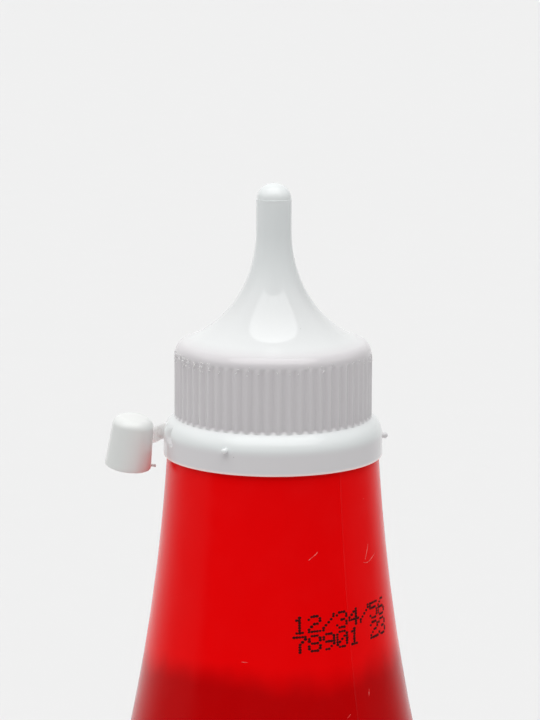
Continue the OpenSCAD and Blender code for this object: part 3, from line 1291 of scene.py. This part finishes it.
class SAUCEBOTTLE_OT_strap(Operator):
    """Make the strap that ties the tip cap to the collar"""

    bl_idname = "sauce_bottle.strap"
    bl_label = "Strap"

    def execute(self, context):
        s = in_mm(context.scene.sauce_bottle_strap)
        places = []
        # The root is low and thin at first.
        for turn, radius, share, drop, heading in STRAP_ROOT:
            angle = FRONT - math.radians(turn)
            height = STRAP_START[2] - drop
            middle = Vector((radius * math.cos(angle), radius * math.sin(angle), height))
            places.append(across_strap(middle, heading, s.strap_t * 0.9, s.strap_w * share))
        for middle, heading in strap_line():
            if middle.y >= STRAP_ROOT_END_Y or heading > STRAP_HEADING + 1:
                places.append(across_strap(middle, heading, s.strap_t, s.strap_w))
        bm = bmesh.new()
        sweep(bm, places)
        bmesh.ops.recalc_face_normals(bm, faces=bm.faces)
        flash = shared_material("pale_flash", flash_material)
        piece_from(bm, "strap_band", flash, replaces="strap", sharp=50)
        return {"FINISHED"}


class SAUCEBOTTLE_OT_tip_cap(Operator):
    """Make the tip cap with its lug and its short stub"""

    bl_idname = "sauce_bottle.tip_cap"
    bl_label = "Tip cap"

    bore_bevel = 0.4
    lip_bevel = 0.25
    # Rounding of the rim: distance in from the side and height, up to where the side starts.
    rim = ((0.3, 0), (0.08, 0.1))
    rim_h = 0.35
    # Stub left by the mould near the rim: radius and length, its height and where it starts.
    stub = ((0, 0), (0.34, 0), (0.3, 1.3), (0.34, 1.5), (0.2, 1.72), (0, 1.78))
    stub_z = 0.7
    stub_root = 0.3
    # Lug that joins the strap's end: distance past that end, and how much it thickens.
    lug = ((-0.5, 0.9), (0.3, 1.0), (1.0, 1.05), (2.2, 1.1))

    def execute(self, context):
        scene = context.scene
        s = in_mm(scene.sauce_bottle_strap)
        lean = (
            Matrix.Translation(CAP_CENTRE)
            @ Matrix.Rotation(CAP_LEAN_Y, 4, "Y")
            @ Matrix.Rotation(CAP_LEAN_X, 4, "X")
            @ Matrix.Translation((0, 0, -s.cap_len / 2))
        )
        bm = lathe(self.outline(s), 128)
        bmesh.ops.transform(bm, matrix=lean, verts=bm.verts)
        side = Matrix.Translation((s.cap_bore_r + self.stub_root, 0, self.stub_z))
        add_lathe(bm, self.stub, 16, lean @ side @ Matrix.Rotation(math.pi / 2, 4, "Y"))
        end, heading = strap_line()[-1]
        onwards = Vector((math.cos(math.radians(heading)), math.sin(math.radians(heading)), 0))
        places = [
            across_strap(end + onwards * past, heading, s.strap_t * grow, s.strap_w * grow)
            for past, grow in self.lug
        ]
        sweep(bm, places)
        bmesh.ops.recalc_face_normals(bm, faces=bm.faces)
        looks = (scene.sauce_bottle_finishes, scene.sauce_bottle_closure)
        white = shared_material(TIP_CAP_WHITE, white_material, *looks)
        piece_from(bm, "tip_cap_moulding", white, replaces="tip_cap", sharp=50)
        return {"FINISHED"}

    def outline(self, s):
        """From the bore's shut end down to the rim and up the outside."""
        depth = s.cap_len - s.cap_end_wall
        side_z = depth - self.bore_bevel
        shoulder = s.cap_len - s.cap_round
        points = [(0, depth), (s.cap_bore_r - self.bore_bevel, depth)]
        points += [(s.cap_bore_r, z) for z in spread(side_z, self.lip_bevel, 5)]
        points += [(s.cap_bore_r + self.lip_bevel, 0)]
        points += [(s.cap_r - inwards, z) for inwards, z in self.rim]
        points += zip(spread(s.cap_r, s.cap_end_r, 8), spread(self.rim_h, shoulder, 8))
        points += arc((s.cap_end_r - s.cap_round, shoulder), s.cap_round, 0, math.pi / 2, 12)[1:]
        return points + [(0, s.cap_len)]


# ---------------------------------------------------------------- print and scratches

# Dots of each digit, one row of five per string, from the top.
DIGITS = {
    "0": (".###.", "#...#", "#..##", "#.#.#", "##..#", "#...#", ".###."),
    "1": ("..#..", ".##..", "..#..", "..#..", "..#..", "..#..", ".###."),
    "2": (".###.", "#...#", "....#", "..##.", ".#...", "#....", "#####"),
    "3": (".###.", "#...#", "....#", "..##.", "....#", "#...#", ".###."),
    "4": ("...#.", "..##.", ".#.#.", "#..#.", "#####", "...#.", "...#."),
    "5": ("#####", "#....", "####.", "....#", "....#", "#...#", ".###."),
    "6": ("..##.", ".#...", "#....", "####.", "#...#", "#...#", ".###."),
    "7": ("#####", "....#", "...#.", "..#..", "..#..", "..#..", "..#.."),
    "8": (".###.", "#...#", "#...#", ".###.", "#...#", "#...#", ".###."),
    "9": (".###.", "#...#", "#...#", ".####", "....#", "...#.", ".##.."),
    "/": ("....#", "....#", "...#.", "..#..", ".#...", "#....", "#...."),
    " ": ("",) * 7,
}


def dots_of(text):
    """Places of a text's dots: digit, column from the left and row from the bottom."""
    for index, sign in enumerate(text):
        rows = DIGITS[sign]
        for down, dots in enumerate(rows, 1):
            for across, dot in enumerate(dots):
                if dot == "#":
                    yield index, across, len(rows) - down


class SAUCEBOTTLE_OT_print(Operator):
    """Make the dot-printed rows of plain digits"""

    bl_idname = "sauce_bottle.print"
    bl_label = "Dot print"

    # The print is a little stretched to the right, and its dots are smeared that way.
    stretch = 1.17
    dot_shape = (1.18, 0.95, 1, 1)
    dot_taper = 0.85
    dot_h = 0.04
    lift = 0.012
    # Scatter of the dots, across and up, and the range of their sizes.
    scatter = (0.025, 0.02)
    sizes = (0.86, 1.1)

    def execute(self, context):
        scene = context.scene
        b = in_mm(scene.sauce_bottle_sizes)
        p = in_mm(scene.sauce_bottle_print)
        rows = (scene.sauce_bottle_print.lower_row, scene.sauce_bottle_print.upper_row)
        pick = random.Random(7)
        bm = bmesh.new()
        for line, text in enumerate(rows):
            for index, across, up in dots_of(text):
                run = index * p.advance + across * p.pitch * self.stretch
                run += pick.gauss(0, self.scatter[0])
                z = p.base_z + line * p.row_pitch + up * p.pitch
                z += run * p.slope + pick.gauss(0, self.scatter[1])
                size = p.dot_r * pick.uniform(*self.sizes)
                place = on_wall(b, p.start + run / wall_radius(b, z), z, self.lift)
                bmesh.ops.create_cone(
                    bm,
                    cap_ends=True,
                    segments=8,
                    radius1=size,
                    radius2=size * self.dot_taper,
                    depth=self.dot_h,
                    matrix=place @ Matrix.Diagonal(self.dot_shape),
                )
        ink = shared_material("dot_ink", ink_material, scene.sauce_bottle_finishes)
        piece_from(bm, "dot_print", ink)
        return {"FINISHED"}


class SAUCEBOTTLE_OT_scuffs(Operator):
    """Make the fine scratches in the bottle's wall"""

    bl_idname = "sauce_bottle.scuffs"
    bl_label = "Scratches"

    # Each scratch: angle from the front, height, then its steps to the right and up.
    scratches = (
        (53.0, 187.6, ((0.6, 1.0), (0.7, 1.3), (0.3, 0.9))),
        (51.5, 187.3, ((1.0, -0.3), (1.2, 0.1), (1.2, 0.5), (1.6, 0.7))),
        (18.0, 189.6, ((0.7, 0.5), (0.9, 0.6), (0.6, 0.6))),
        (33.0, 156.0, ((0.4, 0.2), (0.5, 0.5))),
        (46.0, 159.4, ((0.1, 0.7), (0.2, 0.9))),
        (-14.0, 168.6, ((0.7, -0.05), (0.8, 0.0))),
        (-120.0, 180.0, ((0.8, 0.9), (0.9, 1.4))),
        (150.0, 140.0, ((1.2, -0.4), (1.5, -0.2), (1.1, 0.3))),
        (-70.0, 110.0, ((0.5, 1.4), (0.3, 1.6))),
    )
    parts = 3
    # Half width at the ends, how much wider the middle is, and half height.
    end_w = 0.012
    middle_w = 0.075
    half_h = 0.035

    def execute(self, context):
        b = in_mm(context.scene.sauce_bottle_sizes)
        bm = bmesh.new()
        for turn, z, path in self.scratches:
            sweep(bm, self.places(b, math.radians(turn), z, path), 6, 2.0)
        bmesh.ops.recalc_face_normals(bm, faces=bm.faces)
        scuff = shared_material("pale_scuff", scuff_material)
        piece_from(bm, "wall_scratches", scuff)
        return {"FINISHED"}

    def places(self, b, angle, z, path):
        """Sections along a scratch, which is widest in its middle."""
        line = [(angle, z, path[0])]
        for right, up in path:
            for _ in range(self.parts):
                angle += right / self.parts / wall_radius(b, z)
                z += up / self.parts
                line.append((angle, z, (right, up)))
        places = []
        for k, (angle, z, (right, up)) in enumerate(line):
            share = (k + 0.4) / (len(line) - 0.2)
            width = self.middle_w * math.sin(math.pi * share) + self.end_w
            places.append(
                on_wall(b, angle, z)
                @ Matrix.Rotation(math.atan2(up, right) - math.pi / 2, 4, "Z")
                @ Matrix.Diagonal((width, 1, self.half_h, 1))
            )
        return places


# ---------------------------------------------------------------- stage


class SAUCEBOTTLE_OT_stage(Operator):
    """Make the floor, the studio light and the camera"""

    bl_idname = "sauce_bottle.stage"
    bl_label = "Stage"

    sensor_w = 36
    far_end = 60
    floor_r = 40
    # What the camera sees where nothing stands.
    plain_white = 0.863
    # How far right of the camera the dark side's middle lies, and how steeply the line rises
    # to the front that the softbox lies square to.
    dark_turn = math.radians(4.75)
    softbox_up = math.radians(74.6)
    # Where the sides and the back panel set in, as angles from the dark side's middle.
    sides_from = (math.radians(70), math.radians(79))
    panel_from = (math.radians(104), math.radians(158))
    # Where the ceiling and the table set in, as heights of a direction of length 1.
    ceiling_from = (0.2, 0.62)
    table_from = (-0.12, -0.42)
    # Softbox, seen from 1 away: rim of its disc, its middle and its straight front edge.
    softbox_rim = (0.84, 0.78)
    softbox_middle = -0.25
    softbox_front = (-0.56, -0.53)

    def execute(self, context):
        scene = context.scene
        s = scene.sauce_bottle_stage
        self.camera(scene, s)
        self.floor(scene, s)
        self.light(scene, s)
        scene.view_settings.view_transform = "Standard"
        scene.view_settings.look = "None"
        return {"FINISHED"}

    def camera(self, scene, s):
        """Long lens that looks along +Y and down."""
        camera = bpy.data.objects.new("camera", bpy.data.cameras.new("camera"))
        camera.data.lens = s.lens
        camera.data.sensor_width = self.sensor_w
        camera.data.clip_end = self.far_end
        back = Vector((0, -math.cos(s.elevation), math.sin(s.elevation)))
        camera.matrix_world = (
            Matrix.Translation(Vector(s.target) + back * s.distance)
            @ Matrix.Rotation(math.pi / 2 - s.elevation, 4, "X")
            @ Matrix.Rotation(s.roll, 4, "Z")
        )
        scene.collection.objects.link(camera)
        scene.camera = camera

    def floor(self, scene, s):
        """Wide plain floor. Shiny pieces see the surround instead of it."""
        bm = bmesh.new()
        bmesh.ops.create_circle(bm, cap_ends=True, segments=96, radius=self.floor_r)
        mesh = bpy.data.meshes.new("floor")
        bm.to_mesh(mesh)
        bm.free()
        paint, nodes, where = new_material("floor")
        cloud = nodes.noise(where, 40.0)
        grain = nodes.ramp(cloud, 0.3, 0.7, s.floor - 0.001, s.floor + 0.001)
        colour = nodes.new("ShaderNodeCombineColor", {0: grain, 1: grain, 2: grain}).outputs[0]
        nodes.surface(nodes.new("ShaderNodeBsdfDiffuse", {"Color": colour}).outputs[0])
        mesh.materials.append(paint)
        floor = bpy.data.objects.new("floor", mesh)
        # The bottle is lit by the surround, which holds the table, and only stands on this.
        floor.visible_glossy = False
        floor.visible_diffuse = False
        floor.visible_transmission = False
        floor.visible_shadow = False
        scene.collection.objects.link(floor)

    def light(self, scene, s):
        """White surround, dark on the camera's side, with a softbox overhead in front."""
        world = bpy.data.worlds.new("studio")
        world.use_nodes = True
        scene.world = world
        n = Nodes(world.node_tree)
        where = n.new("ShaderNodeTexCoord").outputs["Generated"]
        x, y, z = n.new("ShaderNodeSeparateXYZ", {0: where}).outputs
        around = self.surround(n, s, x, y, z)
        value = n.between(self.softbox(n, x, y, z), around, s.softbox)
        studio = n.new("ShaderNodeBackground", {"Strength": value})
        plain = n.new("ShaderNodeBackground", {"Strength": self.plain_white})
        for light in (studio, plain):
            light.inputs["Color"].default_value = (1, 1, 1, 1)
        seen = n.new("ShaderNodeLightPath").outputs["Is Camera Ray"]
        mixed = n.new("ShaderNodeMixShader", {0: seen, 1: studio.outputs[0], 2: plain.outputs[0]})
        n.new("ShaderNodeOutputWorld", {"Surface": mixed.outputs[0]})

    def surround(self, n, s, x, y, z):
        """Brightness of the room, the panel behind the bottle, the ceiling and the table."""
        turn = n.math("ARCTAN2", x, n.times(y, -1.0))
        aside = n.math("ABSOLUTE", n.math("SUBTRACT", turn, self.dark_turn))
        room = n.ramp(aside, *self.sides_from, s.room, s.sides)
        panel = n.ramp(aside, *self.panel_from, 0.0, s.back - s.sides)
        # The left is a little brighter than the right.
        level = n.plus(n.times(room, n.math("MULTIPLY_ADD", x, -0.3, 1.0)), panel)
        flanks = n.math("MULTIPLY_ADD", n.times(x, x), 2.1, 1.0)
        ceiling = n.times(n.math("MULTIPLY_ADD", x, -0.4, flanks), s.ceiling)
        # Overhead the room gives way to the ceiling, and below to the table.
        upper = n.between(n.ramp(z, *self.ceiling_from), level, ceiling)
        return n.between(n.ramp(z, *self.table_from), upper, s.table)

    def softbox(self, n, x, y, z):
        """Mask of the softbox, a disc with a straight front edge, square to a leaning line."""
        c, s = math.cos(self.softbox_up), math.sin(self.softbox_up)
        facing = n.math("MULTIPLY_ADD", z, s, n.times(y, -c))
        ahead = n.math("MAXIMUM", facing, 0.05)
        across = n.math("DIVIDE", x, ahead)
        along = n.math("DIVIDE", n.math("MULTIPLY_ADD", z, c, n.times(y, s)), ahead)
        offset = n.math("SUBTRACT", along, self.softbox_middle)
        squared = n.math("MULTIPLY_ADD", across, across, n.times(offset, offset))
        disc = n.ramp(n.math("SQRT", squared), *self.softbox_rim)
        edge = n.ramp(along, *self.softbox_front)
        return n.times(n.times(disc, edge), n.ramp(facing, 0.05, 0.2))


# ---------------------------------------------------------------- panel and registration

STEPS = (
    SAUCEBOTTLE_OT_stage,
    SAUCEBOTTLE_OT_wall,
    SAUCEBOTTLE_OT_fill,
    SAUCEBOTTLE_OT_closure,
    SAUCEBOTTLE_OT_flecks,
    SAUCEBOTTLE_OT_strap,
    SAUCEBOTTLE_OT_tip_cap,
    SAUCEBOTTLE_OT_print,
    SAUCEBOTTLE_OT_scuffs,
)
GROUPS = {
    "sauce_bottle_sizes": BottleSizes,
    "sauce_bottle_fill": FillSizes,
    "sauce_bottle_closure": ClosureSizes,
    "sauce_bottle_strap": StrapSizes,
    "sauce_bottle_print": PrintSettings,
    "sauce_bottle_finishes": Finishes,
    "sauce_bottle_stage": StageSettings,
}


class SAUCEBOTTLE_PT_parts(Panel):
    """Lists the sizes and the pieces"""

    bl_idname = "SAUCEBOTTLE_PT_parts"
    bl_label = "Sauce bottle"
    bl_space_type = "VIEW_3D"
    bl_region_type = "UI"
    bl_category = "Sauce bottle"

    def draw(self, context):
        for key, group in GROUPS.items():
            box = self.layout.box()
            box.label(text=group.__doc__)
            for name in group.__annotations__:
                box.prop(getattr(context.scene, key), name)
        for step in STEPS:
            self.layout.operator(step.bl_idname)


CLASSES = (*GROUPS.values(), *STEPS, SAUCEBOTTLE_PT_parts)


def register():
    """Registers the classes and hangs the sizes on the scene."""
    for cls in CLASSES:
        bpy.utils.register_class(cls)
    for key, group in GROUPS.items():
        setattr(bpy.types.Scene, key, PointerProperty(type=group))


def unregister():
    """Takes the sizes and the classes away again."""
    for key in GROUPS:
        delattr(bpy.types.Scene, key)
    for cls in reversed(CLASSES):
        bpy.utils.unregister_class(cls)


def main():
    """Makes every piece."""
    register()
    for step in STEPS:
        area, name = step.bl_idname.split(".")
        getattr(getattr(bpy.ops, area), name)()


if __name__ == "__main__":
    main()
